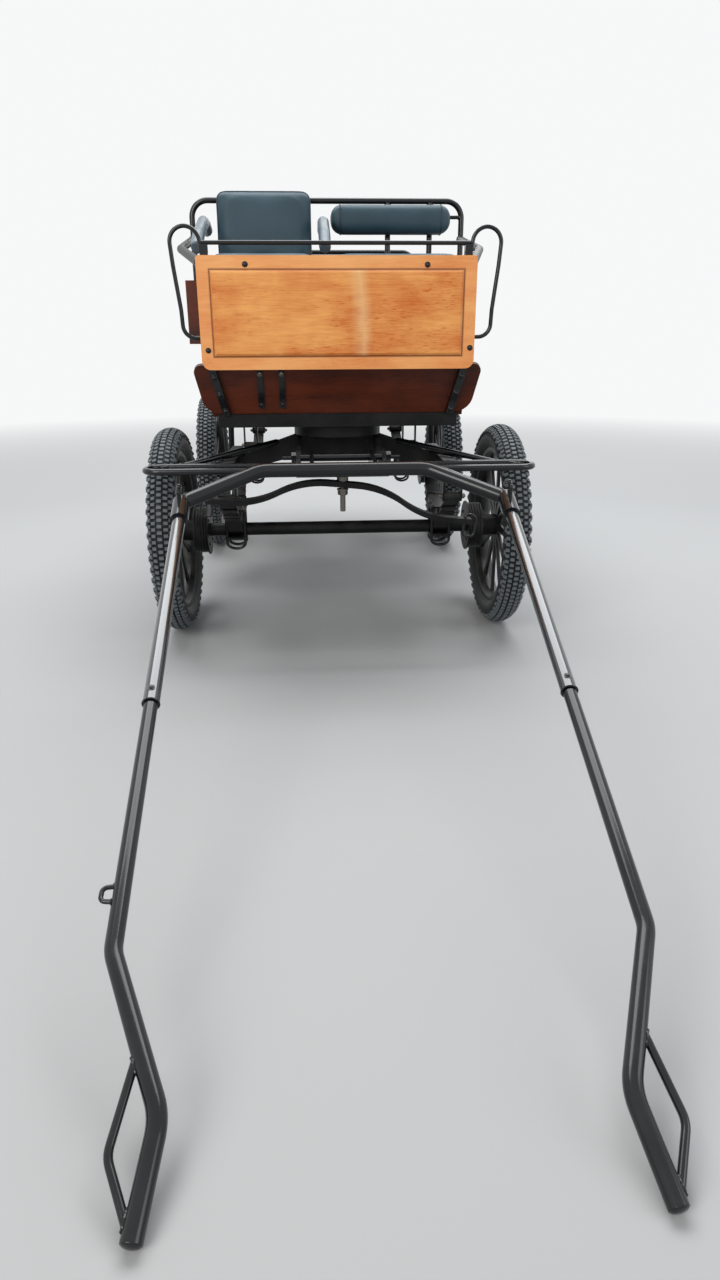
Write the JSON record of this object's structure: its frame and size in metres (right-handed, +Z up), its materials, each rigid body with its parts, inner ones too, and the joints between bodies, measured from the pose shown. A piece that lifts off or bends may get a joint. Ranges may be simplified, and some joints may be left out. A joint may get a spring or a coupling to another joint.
{
  "type": "horse drawn carriage",
  "caption": "Open wagonette for one horse in shafts, with a steered front carriage, spoked wheels with pneumatic tyres, leaf springs and padded seats.",
  "frame": {"origin": "on the floor under the middle of the bounding box", "axes": "the front faces -Y with the shafts ahead, +X is the vehicle's left side, +Z is up"},
  "size_m": [1.264, 3.8088, 1.5127],
  "materials": {
    "black_steel": "gloss",
    "spring_steel": "satin",
    "bright_steel": "satin",
    "varnished_wood": "varnished",
    "dark_wood": "varnished",
    "floor_board": "matt",
    "seat_vinyl": "satin",
    "tyre": "matt"
  },
  "bodies": {
    "carriage_body": {"brake_pedals": "black_steel", "chassis_frame": "black_steel", "dash_frame": "black_steel", "dash_panel": "varnished_wood", "driver_backrest": "seat_vinyl", "driver_cushion": "seat_vinyl", "floor_panel": "floor_board", "front_seat_box": "dark_wood", "left_armrest": "seat_vinyl", "left_side_panel": "dark_wood", "left_side_rail": "black_steel", "left_step": "black_steel", "passenger_backrest": "seat_vinyl", "passenger_cushion": "seat_vinyl", "rear_axle": "black_steel", "rear_backrest": "seat_vinyl", "rear_cushion": "seat_vinyl", "rear_left_spring": "spring_steel", "rear_panel": "dark_wood", "rear_right_spring": "spring_steel", "rear_seat_box": "dark_wood", "rear_seat_rail": "black_steel", "right_armrest": "seat_vinyl", "right_side_panel": "dark_wood", "right_side_rail": "black_steel", "right_step": "black_steel", "seat_hoop": "black_steel", "toe_board": "dark_wood", "turntable_upper_ring": "black_steel"},
    "front_carriage": {"turntable_lower_ring": "black_steel", "kingpin": "bright_steel", "front_carriage_frame": "black_steel", "front_axle": "black_steel", "front_left_spring": "spring_steel", "front_right_spring": "spring_steel", "left_wheel_guard": "black_steel", "right_wheel_guard": "black_steel", "shaft_hinge_rod": "black_steel", "swingletree_bolt": "bright_steel"},
    "shafts": {"shaft_crossbar": "black_steel", "left_shaft_sleeve": "black_steel", "right_shaft_sleeve": "black_steel", "left_shaft": "black_steel", "right_shaft": "black_steel"},
    "swingletree": {"swingletree": "black_steel", "trace_rings": "black_steel"},
    "front_left_wheel": {"front_left_wheel": "black_steel", "front_left_tyre": "tyre"},
    "front_right_wheel": {"front_right_wheel": "black_steel", "front_right_tyre": "tyre"},
    "rear_left_wheel": {"rear_left_wheel": "black_steel", "rear_left_tyre": "tyre"},
    "rear_right_wheel": {"rear_right_wheel": "black_steel", "rear_right_tyre": "tyre"}
  },
  "joints": [
    {"name": "steering", "type": "hinge", "parent": "carriage_body", "child": "front_carriage", "pos_m": [0, 0.2893, 0.7], "axis": [0, 0, 1], "range_deg": [-40, 40]},
    {"name": "shaft_lift", "type": "hinge", "parent": "front_carriage", "child": "shafts", "pos_m": [0, -0.0407, 0.641], "axis": [-1, 0, 0], "range_deg": [0, 50]},
    {"name": "swingletree_pivot", "type": "hinge", "parent": "front_carriage", "child": "swingletree", "pos_m": [0, -0.1307, 0.576], "axis": [0, 0, 1], "range_deg": [-18, 18]},
    {"name": "front_left_wheel_spin", "type": "hinge", "parent": "front_carriage", "child": "front_left_wheel", "pos_m": [0.566, 0.2893, 0.35], "axis": [1, 0, 0], "continuous": true},
    {"name": "front_right_wheel_spin", "type": "hinge", "parent": "front_carriage", "child": "front_right_wheel", "pos_m": [-0.566, 0.2893, 0.35], "axis": [1, 0, 0], "continuous": true},
    {"name": "rear_left_wheel_spin", "type": "hinge", "parent": "carriage_body", "child": "rear_left_wheel", "pos_m": [0.566, 1.5393, 0.365], "axis": [1, 0, 0], "continuous": true},
    {"name": "rear_right_wheel_spin", "type": "hinge", "parent": "carriage_body", "child": "rear_right_wheel", "pos_m": [-0.566, 1.5393, 0.365], "axis": [1, 0, 0], "continuous": true}
  ]
}
